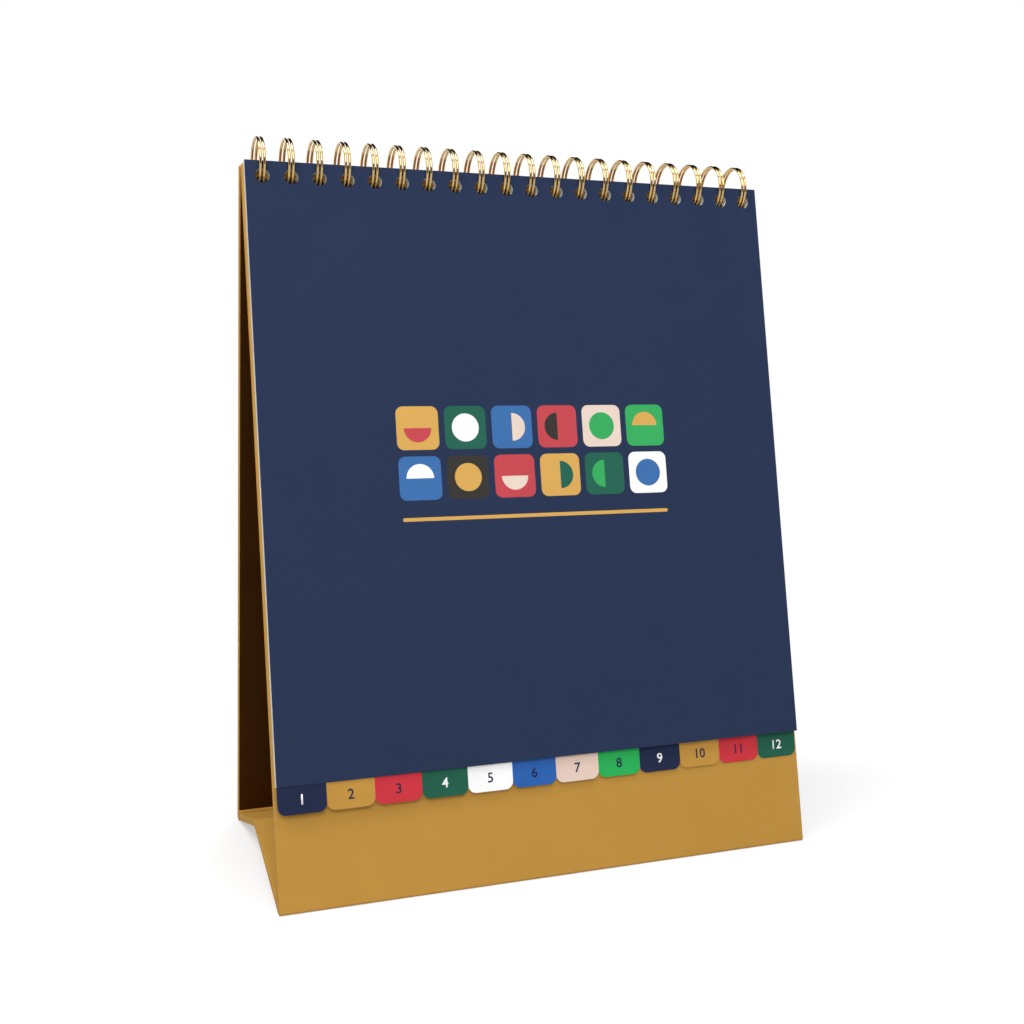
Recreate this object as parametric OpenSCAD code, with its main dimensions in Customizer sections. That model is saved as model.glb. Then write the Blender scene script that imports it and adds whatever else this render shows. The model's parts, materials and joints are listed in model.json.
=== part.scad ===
// Easel desk calendar: a wrapped-board stand, a twin-loop wire binding, a cover and twelve tabbed month sheets.
// Millimetres, +Z up. The origin is on the desk, under the middle of the object; the cover looks towards -Y.

/* [Stand] */
// Width of the stand
board_w = 172; // [130:1:230]
// Thickness of the grey board inside each panel
core_t = 1.6; // [1.2:0.1:2.2]
// Thickness of the covering paper
wrap_t = 0.2; // [0.1:0.05:0.3]
// Thickness of the lining paper
liner_t = 0.2; // [0.1:0.05:0.3]
// Width of the covering paper that is turned in round the edges
turn_in = 15; // [8:1:20]
// Distance of the lining paper from the edges
liner_inset = 0.3; // [0.2:0.1:5]
// Lean of the front panel from upright, in degrees
front_lean = 14.6; // [10:0.2:18]
// Slope length of the front panel, from the fold at its foot to its top edge
front_len = 214; // [180:1:260]
// Distance between the folds at the two feet
base_depth = 68.7; // [60:0.1:80]
// Distance of the base's mid crease behind the front foot's fold
crease_run = 37.9; // [30:0.1:42]
// Height of the base's mid crease above the feet's folds
crease_rise = 8.1; // [6:0.1:14]
// Width of the crushed, scored strip on each side of the mid crease
ridge_w = 6; // [5.5:0.5:8]
// Gap between the desk and a base flap, if it lay flat at its foot's fold
flap_lift = 0.1; // [0.05:0.05:1]
// Height of the crushed board above each foot fold
foot_h = 1; // [0.5:0.5:6]
// Rounding of the outer corner at each foot
foot_r = 0.8; // [0.4:0.1:1.5]
// Gap between two panels at a fold
fold_gap = 0.15; // [0.1:0.05:0.4]

/* [Binding] */
// Distance from one twin loop to the next
loop_pitch = 8.467; // [8:0.001:9]
// Radius of the loops, at the middle of the wire
loop_r = 7.4; // [7.2:0.1:8]
// Diameter of the wire
wire_d = 0.9; // [0.7:0.05:1]
// Distance between the two wires of a twin loop
twin_gap = 1.35; // [1.2:0.05:1.6]
// Height of the loops' centre above the front panel's top edge
loop_rise = 1.5; // [1:0.1:2]
// Distance of the loops' centre behind the front panel's inner face
loop_set_back = 1.3; // [1.1:0.1:1.6]
// Distance of the loops' centre behind the back panel's inner face
back_set_in = 0.9; // [0.5:0.1:1]
// Height of the loops' centre above the back panel's top edge
back_drop = 1; // [0.8:0.1:2]
// Gap between the back panel and the wire's spine
spine_gap = 1.25; // [0.8:0.05:1.6]
// Diameter of the punched holes
hole_d = 4.2; // [4:0.1:4.6]

/* [Sheets] */
// Distance of the sheets' sides from the stand's sides
sheet_inset = 0.5; // [0:0.1:4]
// Height of the front panel's bare strip, from its foot's fold to the sheets without their tabs
strip_h = 33.25; // [20:0.25:60]
// Thickness of one sheet
sheet_t = 0.14; // [0.1:0.01:0.16]
// Gap between sheets
sheet_gap = 0.03; // [0.02:0.01:0.06]
// Gap between the last sheet and the stand
pad_gap = 0.1; // [0.05:0.05:0.3]
// Rise of the sheets above the front panel's top edge
sheet_rise = 0.45; // [0:0.05:0.5]
// Height of the tabs below the sheets' lower edge
tab_h = 8; // [5:0.5:12]
// Rounding of the tabs' lower corners
tab_r = 2.5; // [1:0.5:4]

/* [Hidden] */
$fn = 48;

// Total thickness of a panel: lining, turned-in paper, grey board, covering paper
panel_t = liner_t + wrap_t + core_t + wrap_t;
core_in = liner_t + wrap_t;
fold_h = panel_t + flap_lift;
// How far a cut runs past the faces that it opens
over = 1;

// Cross-section points are [y, z], counted from the front face's line on the desk
function along(angle) = [cos(angle), sin(angle)];
function angle_of(v) = atan2(v[1], v[0]);

front_up = [sin(front_lean), cos(front_lean)];
front_out = [-cos(front_lean), sin(front_lean)];
front_fold = [(panel_t + fold_h * sin(front_lean)) / cos(front_lean), fold_h];
rear_fold = front_fold + [base_depth, 0];
loop_c = front_fold + (front_len + loop_rise) * front_up - loop_set_back * front_out;
loop_z = front_len + loop_rise;

back_span = norm(loop_c - rear_fold);
back_lean = asin((rear_fold[0] - loop_c[0]) / back_span) + asin(back_set_in / back_span);
back_len = sqrt(back_span * back_span - back_set_in * back_set_in) - back_drop;
back_up = [-sin(back_lean), cos(back_lean)];
back_out = [cos(back_lean), sin(back_lean)];
back_loop_z = back_len + back_drop;

// The mid crease lies on the flaps' undersides, the foot folds on their upper faces
mid_crease = front_fold + [crease_run, crease_rise];
front_flap_len = norm(mid_crease - front_fold);
rear_flap_len = norm(mid_crease - rear_fold);
front_flap_tilt = angle_of(mid_crease - front_fold) + asin(panel_t / front_flap_len);
rear_flap_tilt = 180 - angle_of(mid_crease - rear_fold) + asin(panel_t / rear_flap_len);
front_flap_run = sqrt(front_flap_len * front_flap_len - panel_t * panel_t);
rear_flap_run = sqrt(rear_flap_len * rear_flap_len - panel_t * panel_t);
ridge_top = mid_crease + panel_t / cos((front_flap_tilt + rear_flap_tilt) / 2)
  * along(90 + (front_flap_tilt - rear_flap_tilt) / 2);

// The object's depth, halved, puts the origin under its middle
rear_face_y = rear_fold[0] + (panel_t + fold_h * sin(back_lean)) / cos(back_lean);
mid_y = rear_face_y / 2;

// Sheets are counted from the stand outwards: december is 0 and the cover is last
month_count = 12;
sheet_pitch = sheet_t + sheet_gap;
sheet_top = front_len + sheet_rise;
sheet_w = board_w - 2 * sheet_inset;
sheet_h = sheet_top - strip_h;
stack_t = month_count * sheet_pitch + sheet_t;
tab_w = sheet_w / month_count;

cover_colour = [0.18, 0.22, 0.33];
wrap_colour = [0.75, 0.56, 0.26];
liner_colour = [0.22, 0.12, 0.03];
core_colour = [0.55, 0.52, 0.47];
wire_colour = [0.72, 0.55, 0.25];
navy = [0.14, 0.17, 0.28];
gold = [0.75, 0.57, 0.27];
red = [0.78, 0.22, 0.27];
pine = [0.15, 0.37, 0.30];
white = [0.95, 0.95, 0.93];
blue = [0.19, 0.38, 0.69];
blush = [0.93, 0.82, 0.77];
green = [0.18, 0.68, 0.35];
tab_colours = [navy, gold, red, pine, white, blue, blush, green, navy, gold, red, pine];

// Panel frames: X across, Y from the inner face into the panel, Z along it from its fold
module in_place() translate([0, -mid_y, 0]) children();
module at(p) translate([0, p[0], p[1]]) children();
module on_front() in_place() at(front_fold) rotate([-front_lean, 0, 0]) mirror([0, 1, 0]) children();
module on_back() in_place() at(rear_fold) rotate([back_lean, 0, 0]) children();
module on_front_flap() in_place() at(front_fold) rotate([front_flap_tilt - 90, 0, 0]) children();
module on_rear_flap() in_place() at(rear_fold) rotate([90 - rear_flap_tilt, 0, 0]) mirror([0, 1, 0]) children();

// A block in a panel frame, from y0 to y1 and z0 to z1, as wide as w
module slab(w, y0, y1, z0, z1) translate([-w / 2, y0, z0]) cube([w, y1 - y0, z1 - z0]);
// A cross-section of the stand, as wide as the boards
module profile(points) in_place() rotate([90, 0, 90]) linear_extrude(board_w, center = true) polygon(points);

loop_count = floor(sheet_w / loop_pitch);
function loop_x(i) = (i - (loop_count - 1) / 2) * loop_pitch;

// The row of punched holes through a panel or a sheet, at height z
module holes(z, y0, y1) {
  for (i = [0 : loop_count - 1])
    translate([loop_x(i), y0, z]) rotate([-90, 0, 0]) cylinder(d = hole_d, h = y1 - y0);
}

// How far below their centre the loops cross a layer that lies this far from it
function loop_drop(distance) = sqrt(loop_r * loop_r - distance * distance);
pad_distance = loop_set_back + panel_t + pad_gap;
front_hole_z = loop_z - loop_drop(loop_set_back + panel_t / 2);
back_hole_z = back_loop_z - loop_drop(panel_t / 2 - back_set_in);
sheet_hole_z = loop_z - (loop_drop(pad_distance) + loop_drop(pad_distance + stack_t)) / 2;

// A corner of an outline, rounded to radius r between the neighbours p and q
function rounded(p, c, q, r) =
  let (a = (p - c) / norm(p - c), b = (q - c) / norm(q - c), half = acos(a * b) / 2)
  let (m = c + (a + b) / norm(a + b) * r / sin(half))
  let (a0 = angle_of(c + a * r / tan(half) - m), a1 = angle_of(c + b * r / tan(half) - m))
  let (turn = (a1 - a0 + 540) % 360 - 180)
  [for (k = [0 : 4]) m + r * along(a0 + turn * k / 4)];

// Grey board of a panel, with a raised field inside the turned-in paper
module board(z0, z1, end_cover, end_turn) {
  slab(board_w - 2 * wrap_t, core_in, core_in + core_t, z0, z1 - end_cover);
  slab(board_w - 2 * turn_in, liner_t, core_in + core_t, z0, z1 - end_turn);
}

// Lining paper of a panel
module lining(z0, z1) slab(board_w - 2 * liner_inset, 0, liner_t, z0, z1);

// Front panel
front_desk = [0, 0];
front_heel = front_fold + fold_h * [tan(front_flap_tilt), -1];
front_tip = front_fold + front_len * front_up;
front_outline = concat(
  [front_fold, front_tip, front_tip + panel_t * front_out],
  rounded(front_tip + panel_t * front_out, front_desk, front_heel, foot_r),
  [front_heel]
);

module front_board_body() on_front() board(foot_h, front_len, wrap_t, turn_in);

module front_board() color(core_colour) difference() {
  front_board_body();
  on_front() holes(front_hole_z, -over, panel_t + over);
}

module front_wrap() color(wrap_colour) difference() {
  profile(front_outline);
  front_board_body();
  on_front() slab(board_w + 2 * over, -over, liner_t, foot_h, front_len + over);
  on_front() holes(front_hole_z, -over, panel_t + over);
}

module front_liner() color(liner_colour) on_front() difference() {
  lining(foot_h, front_len - liner_inset);
  holes(front_hole_z, -over, panel_t + over);
}

// Back panel
rear_desk = [rear_face_y, 0];
rear_heel = rear_fold - fold_h * [tan(rear_flap_tilt), 1];
back_tip = rear_fold + back_len * back_up;
back_outline = concat(
  [rear_fold, rear_heel],
  rounded(rear_heel, rear_desk, back_tip + panel_t * back_out, foot_r),
  [back_tip + panel_t * back_out, back_tip]
);

module back_board_body() on_back() board(foot_h, back_len, wrap_t, turn_in);

module back_board() color(core_colour) difference() {
  back_board_body();
  on_back() holes(back_hole_z, -over, panel_t + over);
}

module back_wrap() color(wrap_colour) difference() {
  profile(back_outline);
  back_board_body();
  on_back() slab(board_w + 2 * over, -over, liner_t, foot_h, back_len + over);
  on_back() holes(back_hole_z, -over, panel_t + over);
}

module back_liner() color(liner_colour) on_back() difference() {
  lining(foot_h, back_len - liner_inset);
  holes(back_hole_z, -over, panel_t + over);
}

// Base flaps, from the gap at their foot fold to the scored strip at the mid crease
module flap_board(run) board(fold_gap, run - ridge_w, 0, 0);
module flap_wrap(run) difference() {
  slab(board_w, liner_t, panel_t, fold_gap, run - ridge_w);
  flap_board(run);
}
module flap_liner(run) lining(fold_gap, run - ridge_w);

module front_flap_board() color(core_colour) on_front_flap() flap_board(front_flap_run);
module front_flap_wrap() color(wrap_colour) on_front_flap() flap_wrap(front_flap_run);
module front_flap_liner() color(wrap_colour) on_front_flap() flap_liner(front_flap_run);
module rear_flap_board() color(core_colour) on_rear_flap() flap_board(rear_flap_run);
module rear_flap_wrap() color(wrap_colour) on_rear_flap() flap_wrap(rear_flap_run);
module rear_flap_liner() color(wrap_colour) on_rear_flap() flap_liner(rear_flap_run);

// Scored strips: they meet in the plane that halves the mid crease
half_gap = fold_gap / 2 * along((front_flap_tilt - rear_flap_tilt) / 2);
front_flap_end = front_fold + (front_flap_run - ridge_w) * along(front_flap_tilt);
rear_flap_end = rear_fold + (rear_flap_run - ridge_w) * along(180 - rear_flap_tilt);

module front_ridge() color(wrap_colour) profile([
  front_flap_end,
  front_flap_end + panel_t * along(front_flap_tilt - 90),
  mid_crease - half_gap,
  ridge_top - half_gap
]);

module rear_ridge() color(wrap_colour) profile([
  rear_flap_end,
  ridge_top + half_gap,
  mid_crease + half_gap,
  rear_flap_end + panel_t * along(270 - rear_flap_tilt)
]);

// Wire binding: one wire that runs round each loop, turns at its tip, runs back and steps to the next loop.
// Angles are counted from straight below the loops' centre, forwards, up and over.
wire_sides = 6;
arc_rings = 15;
spine_angle = -asin((panel_t - back_set_in + spine_gap + wire_d / 2) / loop_r);
tip_angle = 316;
root_r = 0.8;
root_angle = root_r / loop_r * 180 / PI;
turn_angle = twin_gap / 2 / loop_r * 180 / PI;
// The rings stand a little outside the loop's radius, and the straight runs between them as far inside it
arc_step = (tip_angle - spine_angle - root_angle) / (arc_rings - 1);
ring_r = loop_r * 2 / (1 + cos(arc_step / 2));

// Points [x, angle] of one twin loop about x = 0, from its first root to its last
function strand(x, a0, a1) = [for (k = [0 : arc_rings - 1]) [x, a0 + (a1 - a0) * k / (arc_rings - 1)]];
twin_loop = concat(
  [for (t = [0, 45]) [-twin_gap / 2 - root_r * (1 - sin(t)), spine_angle + root_angle * (1 - cos(t))]],
  strand(-twin_gap / 2, spine_angle + root_angle, tip_angle),
  [for (t = [45, 90, 135]) [-twin_gap / 2 * cos(t), tip_angle + turn_angle * sin(t)]],
  strand(twin_gap / 2, tip_angle, spine_angle + root_angle),
  [for (t = [45, 0]) [twin_gap / 2 + root_r * (1 - sin(t)), spine_angle + root_angle * (1 - cos(t))]]
);
wire_path = [for (i = [0 : loop_count - 1]) for (p = twin_loop) [p[0] + loop_x(i), p[1]]];

function out_from(a) = [0, -sin(a), -cos(a)];
function on_loop(p) = [p[0], loop_c[0] - mid_y, loop_c[1]] + ring_r * out_from(p[1]);
wire_points = [for (p = wire_path) on_loop(p)];
wire_last = len(wire_points) - 1;
function heading(i) =
  let (v = wire_points[min(i + 1, wire_last)] - wire_points[max(i - 1, 0)]) v / norm(v);
function ring(i) =
  let (u = out_from(wire_path[i][1]), w = cross(heading(i), u), v = w / norm(w))
  [for (k = [0 : wire_sides - 1])
    wire_points[i] + wire_d / 2 * (cos(k * 360 / wire_sides) * u + sin(k * 360 / wire_sides) * v)];

// Least gap of the wire to itself, measured between points over one loop and the next
near = len(twin_loop);
wire_self_gap = min([for (i = [0 : near - 1]) for (j = [i + 4 : 2 * near - 1])
  norm(wire_points[i] - wire_points[j])]) - wire_d;
echo(wire_self_gap = wire_self_gap);

module wire_binding() {
  points = [for (i = [0 : wire_last]) each ring(i)];
  sides = [for (i = [0 : wire_last - 1]) for (k = [0 : wire_sides - 1])
    let (a = i * wire_sides + k, b = i * wire_sides + (k + 1) % wire_sides)
    each [[a, b, b + wire_sides], [a, b + wire_sides, a + wire_sides]]];
  caps = [for (k = [1 : wire_sides - 2])
    each [[0, k + 1, k], [wire_last * wire_sides, wire_last * wire_sides + k, wire_last * wire_sides + k + 1]]];
  color(wire_colour) polyhedron(points, concat(sides, caps), convexity = 10);
}

// A tab that hangs from a sheet's lower edge, with rounded lower corners
module tab_outline() {
  translate([0, tab_r - tab_h]) square([tab_w, tab_h - tab_r]);
  translate([tab_r, -tab_h]) square([tab_w - 2 * tab_r, tab_h]);
  for (x = [tab_r, tab_w - tab_r])
    translate([x, tab_r - tab_h]) circle(r = tab_r);
}

// A sheet: place counts from the stand outwards, and tab 0 means a sheet without a tab
module sheet(place, tab) {
  y0 = panel_t + pad_gap + place * sheet_pitch;
  on_front() translate([0, y0 + sheet_t, 0]) rotate([90, 0, 0]) linear_extrude(sheet_t) difference() {
    union() {
      translate([-sheet_w / 2, sheet_top - sheet_h]) square([sheet_w, sheet_h]);
      if (tab > 0)
        translate([-sheet_w / 2 + (tab - 1) * tab_w, sheet_top - sheet_h]) tab_outline();
    }
    for (i = [0 : loop_count - 1])
      translate([loop_x(i), sheet_hole_z]) circle(d = hole_d);
  }
}

module month_sheet(month) color(tab_colours[month - 1]) sheet(month_count - month, month);
module cover_sheet() color(cover_colour) sheet(month_count, 0);

front_board();
front_wrap();
front_liner();
back_board();
back_wrap();
back_liner();
front_flap_board();
front_flap_wrap();
front_flap_liner();
front_ridge();
rear_flap_board();
rear_flap_wrap();
rear_flap_liner();
rear_ridge();
wire_binding();
cover_sheet();
month_sheet(1);  // jan_sheet
month_sheet(2);  // feb_sheet
month_sheet(3);  // mar_sheet
month_sheet(4);  // apr_sheet
month_sheet(5);  // may_sheet
month_sheet(6);  // jun_sheet
month_sheet(7);  // jul_sheet
month_sheet(8);  // aug_sheet
month_sheet(9);  // sep_sheet
month_sheet(10);  // oct_sheet
month_sheet(11);  // nov_sheet
month_sheet(12);  // dec_sheet
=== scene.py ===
# %% [markdown]
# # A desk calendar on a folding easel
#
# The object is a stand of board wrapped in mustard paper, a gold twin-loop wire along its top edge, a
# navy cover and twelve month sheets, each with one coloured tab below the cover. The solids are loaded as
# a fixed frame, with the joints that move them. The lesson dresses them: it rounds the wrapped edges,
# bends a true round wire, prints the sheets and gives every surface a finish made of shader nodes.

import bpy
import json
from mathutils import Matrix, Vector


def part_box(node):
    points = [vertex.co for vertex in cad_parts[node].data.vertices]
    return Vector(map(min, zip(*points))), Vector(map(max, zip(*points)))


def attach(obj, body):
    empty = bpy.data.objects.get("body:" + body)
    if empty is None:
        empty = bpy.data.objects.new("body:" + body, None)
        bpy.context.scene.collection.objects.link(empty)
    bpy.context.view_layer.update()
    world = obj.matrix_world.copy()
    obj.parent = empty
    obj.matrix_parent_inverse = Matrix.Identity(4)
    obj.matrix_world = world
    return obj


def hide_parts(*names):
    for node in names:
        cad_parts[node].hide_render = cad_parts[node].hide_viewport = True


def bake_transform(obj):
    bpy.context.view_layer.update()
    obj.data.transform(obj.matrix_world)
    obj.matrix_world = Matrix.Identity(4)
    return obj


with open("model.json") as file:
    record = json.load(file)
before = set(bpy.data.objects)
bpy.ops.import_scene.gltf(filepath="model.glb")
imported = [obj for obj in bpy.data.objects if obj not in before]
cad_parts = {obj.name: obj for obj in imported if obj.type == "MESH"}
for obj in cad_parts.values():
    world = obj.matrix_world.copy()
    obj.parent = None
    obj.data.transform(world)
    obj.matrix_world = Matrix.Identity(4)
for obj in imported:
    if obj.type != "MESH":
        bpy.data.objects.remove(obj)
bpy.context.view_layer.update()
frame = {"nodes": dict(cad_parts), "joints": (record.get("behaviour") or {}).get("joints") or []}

import calendar
import json
import math

import bmesh
import bpy
from mathutils import Matrix, Vector

MM = 0.001
scene = bpy.context.scene
scene.view_settings.view_transform = "Standard"
joints = {joint["name"]: joint for joint in frame["joints"]}

# %% [markdown]
# ## The front panel's own axes
#
# The front panel leans back. A print could be modelled on the slope itself, but it is easier to draw it
# flat and then lay it on the panel. A 4 by 4 matrix does that: its columns are the panel's directions
# across, up along the slope and out of the face, and its last column is the fold at the panel's foot.
# Points written as (across, up, out) then land on the leaning panel. The fold comes from the frame's
# joints, so nothing is placed by eye.

# %% The front panel's own axes
FRONT_LEAN = math.radians(14.6)
front_fold = Vector(joints["front_flap_fold"]["pos_m"])
across = Vector((1, 0, 0))
front_up = Vector((0, math.sin(FRONT_LEAN), math.cos(FRONT_LEAN)))
front_out = across.cross(front_up)
on_front = Matrix((across, front_up, front_out)).transposed().to_4x4()
on_front.translation = front_fold
print("front panel leans", round(math.degrees(FRONT_LEAN), 1), "degrees, fold at", front_fold)

# %% [markdown]
# ## Sheet sizes
#
# Thirteen sheets lie on the front panel, and twelve of them have a tab below the cover's foot, one beside
# the other. The print has to fit them, so their sizes aren't written down again but measured: how far a
# sheet reaches along each of the panel's directions is the largest dot product of its points with that
# direction.

# %% Sheet sizes
MONTHS = ("jan", "feb", "mar", "apr", "may", "jun", "jul", "aug", "sep", "oct", "nov", "dec")


def reach(node, direction):
    """How far a node reaches along a direction, counted from the front panel's fold."""
    vertices = frame["nodes"][node].data.vertices
    return max((vertex.co - front_fold).dot(direction) for vertex in vertices)


def face_height(node):
    """Height of a sheet's printed face above the front panel's fold."""
    return reach(node, front_out)


SHEET_W = 2 * reach("cover_sheet", across)
SHEET_TOP = reach("cover_sheet", front_up)
SHEET_FOOT = -reach("cover_sheet", -front_up)
TAB_H = SHEET_FOOT + reach("jan_sheet", -front_up)
TAB_W = SHEET_W / len(MONTHS)
print(f"sheet {SHEET_W / MM:.1f} by {(SHEET_TOP - SHEET_FOOT) / MM:.1f} mm")
print(f"tab {TAB_W / MM:.2f} by {TAB_H / MM:.1f} mm")

# %% [markdown]
# ## Camera
#
# The photograph was taken from a little above the middle of the cover, from the left, with a normal lens.
# A camera can be aimed by a constraint, but a plain quaternion is easier to read: look along a line from
# the lens to a point on the stand, then roll the camera by the small angle that the photograph is tilted.

# %% Camera
LENS = 45.74
SENSOR_W = 36.0
NEAREST_SEEN = 0.01
CAMERA_PLACE = Vector((-0.1505, -0.3774, 0.1755))
CAMERA_AIM = Vector((-0.0051, 0.0, 0.1065))
CAMERA_ROLL = math.radians(1.52)

camera = bpy.data.objects.new("camera", bpy.data.cameras.new("camera"))
camera.data.lens = LENS
camera.data.sensor_width = SENSOR_W
camera.data.clip_start = NEAREST_SEEN
camera.location = CAMERA_PLACE
camera.rotation_mode = "QUATERNION"
look = (CAMERA_AIM - CAMERA_PLACE).to_track_quat("-Z", "Y").to_matrix()
camera.rotation_quaternion = (look @ Matrix.Rotation(CAMERA_ROLL, 3, "Z")).to_quaternion()
scene.collection.objects.link(camera)
scene.camera = camera
print("camera is", round((CAMERA_AIM - CAMERA_PLACE).length, 3), "m from what it looks at")

# %% [markdown]
# ## Shader sums
#
# A finish is a tree of shader nodes. Written as calls it soon gets hard to read, so one small class wraps
# a socket and lets Python's own operators add the Math nodes: `1 - mask * 0.5` becomes two of them. Every
# other node comes from the one method `node`, which sets the node's settings first and then its sockets.

# %% Shader sums


class Shade:
    """A socket in a material's node tree that Python's operators can do sums with."""

    def __init__(self, tree, socket=None):
        self.tree = tree
        self.socket = socket

    def node(self, kind, settings=None, sockets=None, out=0):
        """Adds a node and returns one of its outputs; a socket may be given a value or a Shade."""
        made = self.tree.nodes.new("ShaderNode" + kind)
        for name, value in (settings or {}).items():
            setattr(made, name, value)
        for name, value in (sockets or {}).items():
            if isinstance(value, Shade):
                self.tree.links.new(value.socket, made.inputs[name])
            else:
                made.inputs[name].default_value = value
        return Shade(self.tree, made.outputs[out])

    def sum(self, operation, first, second=0.0):
        return self.node("Math", {"operation": operation}, {0: first, 1: second})

    def __add__(self, other):
        return self.sum("ADD", self, other)

    def __sub__(self, other):
        return self.sum("SUBTRACT", self, other)

    def __rsub__(self, other):
        return self.sum("SUBTRACT", other, self)

    def __mul__(self, other):
        return self.sum("MULTIPLY", self, other)

    def __truediv__(self, other):
        return self.sum("DIVIDE", self, other)

    def __gt__(self, other):
        return self.sum("GREATER_THAN", self, other)

    def __lt__(self, other):
        return self.sum("LESS_THAN", self, other)

    __radd__ = __add__
    __rmul__ = __mul__

    def most(self, other):
        """The larger of two numbers; for masks, either of them."""
        return self.sum("MAXIMUM", self, other)

    def size(self):
        """The number without its sign."""
        return self.sum("ABSOLUTE", self)

    def share(self):
        """The part of a number after its point."""
        return self.sum("FRACT", self)

    def along(self, direction):
        """The length of a vector along a direction."""
        return self.node("VectorMath", {"operation": "DOT_PRODUCT"}, {0: self, 1: direction}, out="Value")

    def noise(self, scale, detail=2.0, roughness=0.5):
        sockets = {"Vector": self, "Scale": scale, "Detail": detail, "Roughness": roughness}
        return self.node("TexNoise", sockets=sockets)

    def ramp(self, low, high):
        """Smoothly from 0 at low to 1 at high."""
        settings = {"interpolation_type": "SMOOTHSTEP"}
        return self.node("MapRange", settings, {"Value": self, "From Min": low, "From Max": high})

    def mix(self, first, second):
        """From the first colour to the second, by this number."""
        return self.node("Mix", {"data_type": "RGBA"}, {0: self, 6: first, 7: second}, out=2)


print("Shade has", ", ".join(name for name in vars(Shade) if not name.startswith("_")))

# %% [markdown]
# ## Finishes and colours
#
# Every finish here is a Principled shader. What is the same all over a surface is set on the shader's own
# socket. What varies is painted: a function gets the point's own coordinates and returns the sockets that
# it feeds. Colours are written in the usual 0 to 255 steps, which follow the eye, while a shader works
# with amounts of light, so one helper turns the first into the second.

# %% Finishes and colours


def finish(name, paint, **constants):
    """A material: paint gets its coordinates and returns what varies over the surface, by socket name."""
    material = bpy.data.materials.new(name)
    material.use_nodes = True
    tree = material.node_tree
    shader = tree.nodes["Principled BSDF"]
    for socket, value in constants.items():
        shader.inputs[socket.replace("_", " ")].default_value = value
    place = Shade(tree).node("TexCoord", out="Object")
    for socket, value in paint(place).items():
        tree.links.new(value.socket, shader.inputs[socket])
    return material


def linear(red, green, blue):
    """A colour given in the usual 0 to 255 steps, as the shader wants it."""
    steps = (c / 255 for c in (red, green, blue))
    return (*((s / 12.92 if s <= 0.04045 else ((s + 0.055) / 1.055) ** 2.4) for s in steps), 1.0)


print("step 128 of 255 is", round(linear(128, 128, 128)[0], 3), "of full light")

# %% [markdown]
# ## Paper
#
# All of the object but its wire is paper. Paper is never one flat colour: its fibres lie in clouds, its
# surface has a fine felt that scatters light, and some spots shine a little more than others. A scanned
# picture could show that, but it would repeat and need unwrapping. Noise of several sizes, in cells to
# the metre, does it in the material, and one function adds it to any colour, so the covering paper, the
# lining, the cover, the sheets and the ink differ only in their values. The felt is a bump: it is far too
# fine to model.

# %% Paper
CLOUDS = 70
SHEEN = 900
FELT = 1500
FLECKS = 2600
FIBRES = 5200
FELT_DEPTH = 0.04 * MM
FELT_STRENGTH = 0.22
MAIN_SHARE = 0.6
ROUGH_SPREAD = 0.12
MATTE = 0.05


def two_noises(main, other):
    """A noise with a share of another one in it."""
    return main * MAIN_SHARE + other * (1 - MAIN_SHARE)


def felt(place, strength):
    """A normal with the fine felt of paper."""
    height = two_noises(place.noise(FIBRES, 3.0, 0.6), place.noise(FELT))
    sockets = {"Strength": FELT_STRENGTH * strength, "Distance": FELT_DEPTH, "Height": height}
    return place.node("Bump", sockets=sockets)


def grey(level):
    return (level, level, level, 1.0)


def clouded(place, colour, amount):
    """A colour with the faint clouds and fibres of paper; the colour may be a socket."""
    clouds = two_noises(place.noise(CLOUDS, 3.0), place.noise(FLECKS)).ramp(0.3, 0.7)
    shade = clouds.mix(grey(1 - amount), grey(1 + amount))
    settings = {"data_type": "RGBA", "blend_type": "MULTIPLY"}
    return place.node("Mix", settings, {0: 1.0, 6: colour, 7: shade}, out=2)


def paper(name, colour_at, clouds, strength, least_rough, spread=ROUGH_SPREAD):
    """A paper finish; colour_at gets the coordinates and returns a colour or a socket."""

    def paint(place):
        return {
            "Base Color": clouded(place, colour_at(place), clouds),
            "Roughness": least_rough + place.noise(SHEEN) * spread,
            "Normal": felt(place, strength),
        }

    return finish(name, paint, Specular_IOR_Level=MATTE)


print(f"clouds of {1 / CLOUDS / MM:.0f} mm, fibres of {1 / FIBRES / MM:.2f} mm")
print(f"felt {FELT_DEPTH / MM:.2f} mm deep")

# %% [markdown]
# ## Covering paper
#
# The stand's board is wrapped in mustard paper. Where the paper goes round an edge it is stretched and
# rubbed, so a real edge is a little paler, in patches. Wear can be painted by hand, but that takes a
# picture. Here the finish reads an attribute named `rub` from the mesh, which is 1 on the edges and 0
# elsewhere, and a noise breaks it into patches.

# %% Covering paper
MUSTARD = linear(192, 145, 67)
RUBBED = linear(214, 178, 112)
RUB_PATCHES = 420
RUB_STRENGTH = 0.2


def mustard_at(place):
    rub = place.node("Attribute", {"attribute_name": "rub"}, out="Fac")
    patches = place.noise(RUB_PATCHES, 3.0, 0.6).ramp(0.42, 0.62)
    return (rub * patches * RUB_STRENGTH).mix(MUSTARD, RUBBED)


covering_paper = paper("covering_paper", mustard_at, clouds=0.022, strength=0.9, least_rough=0.62)
print("covering paper:", len(covering_paper.node_tree.nodes), "nodes")

# %% [markdown]
# ## From a bmesh to a piece
#
# Every new piece is shaped as a bmesh, which is Blender's mesh for editing. One helper turns it into an
# object in the scene. Round pieces are shaded smooth, with their real edges kept sharp by angle. The
# object stays at the origin, and its place is in its mesh, as with the solids of the frame.

# %% From a bmesh to a piece
SMOOTH = math.radians(40)


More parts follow.
